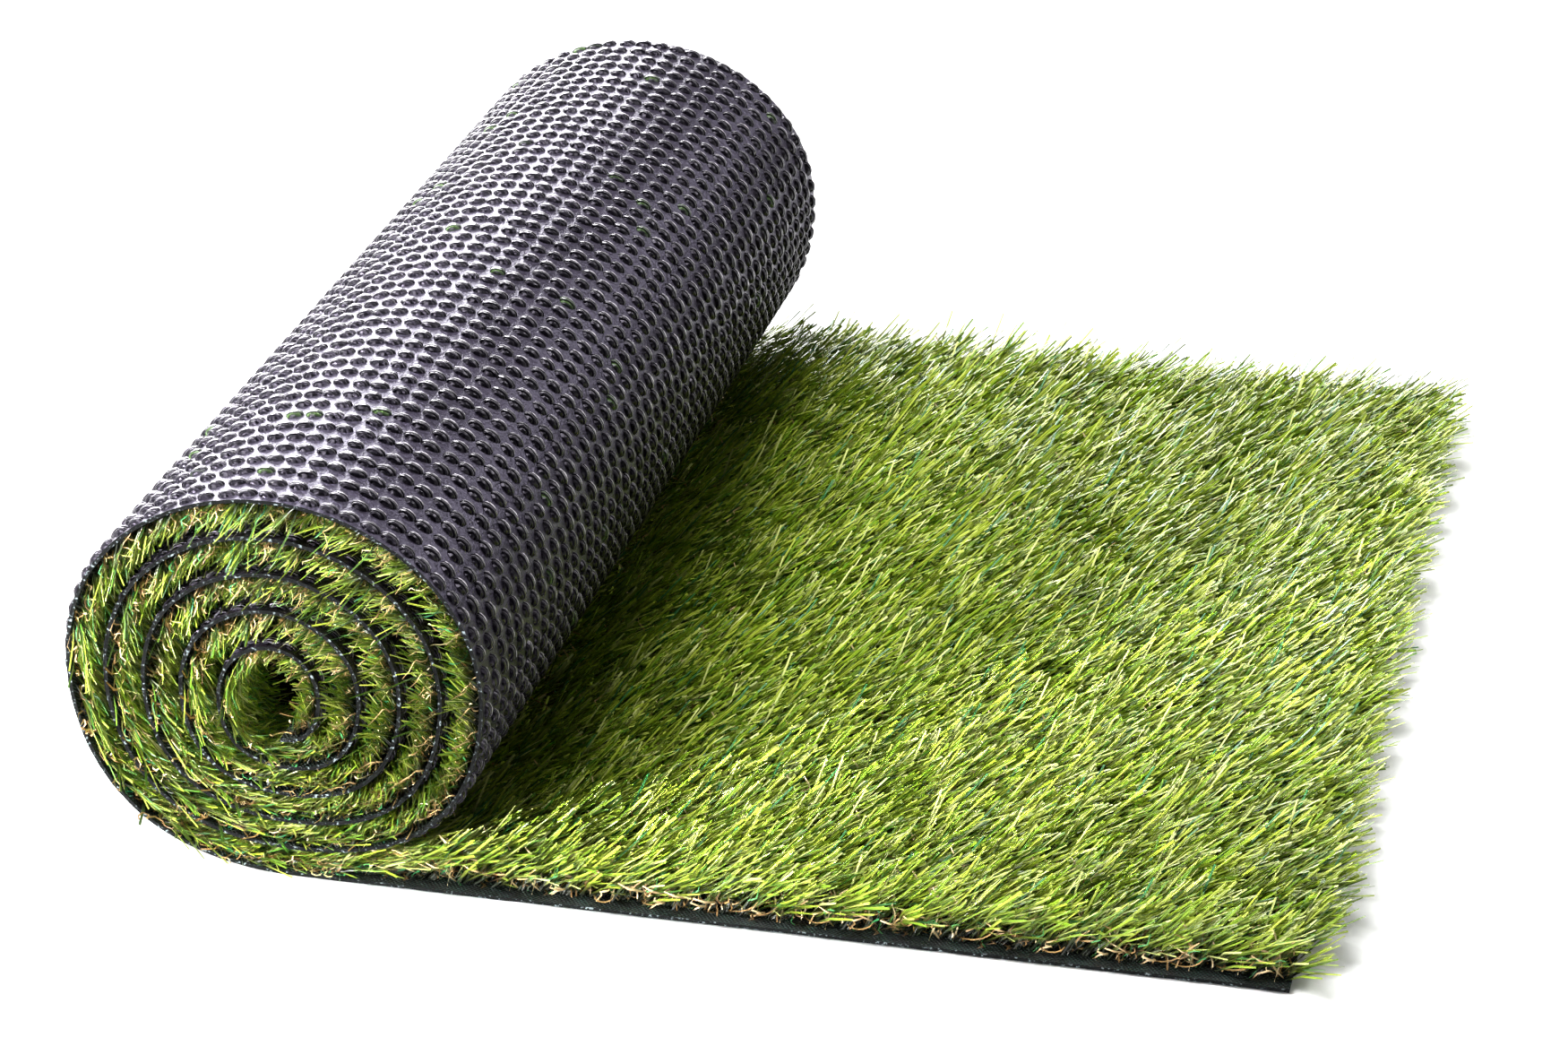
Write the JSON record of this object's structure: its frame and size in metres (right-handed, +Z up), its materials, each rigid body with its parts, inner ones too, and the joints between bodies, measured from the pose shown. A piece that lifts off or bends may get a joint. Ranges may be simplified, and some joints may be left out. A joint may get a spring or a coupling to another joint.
{
  "type": "artificial grass roll",
  "caption": "Partly unrolled roll of artificial grass: tufted green pile on a black backing, wound grass inwards with its free end flat on the floor.",
  "frame": {"origin": "middle of the footprint, on the floor", "axes": "+Z up; +Y along the roll's axis, away from the end that the picture shows; +X from the roll to the free end of the sheet"},
  "size_m": [0.4592, 0.4762, 0.151],
  "materials": {
    "latex_backing": "semi-gloss black latex over woven fabric",
    "grass_yarn": "satin green polyethylene yarn"
  },
  "bodies": {
    "root": {"turf_backing": "latex_backing", "grass_pile": "grass_yarn"}
  },
  "joints": []
}
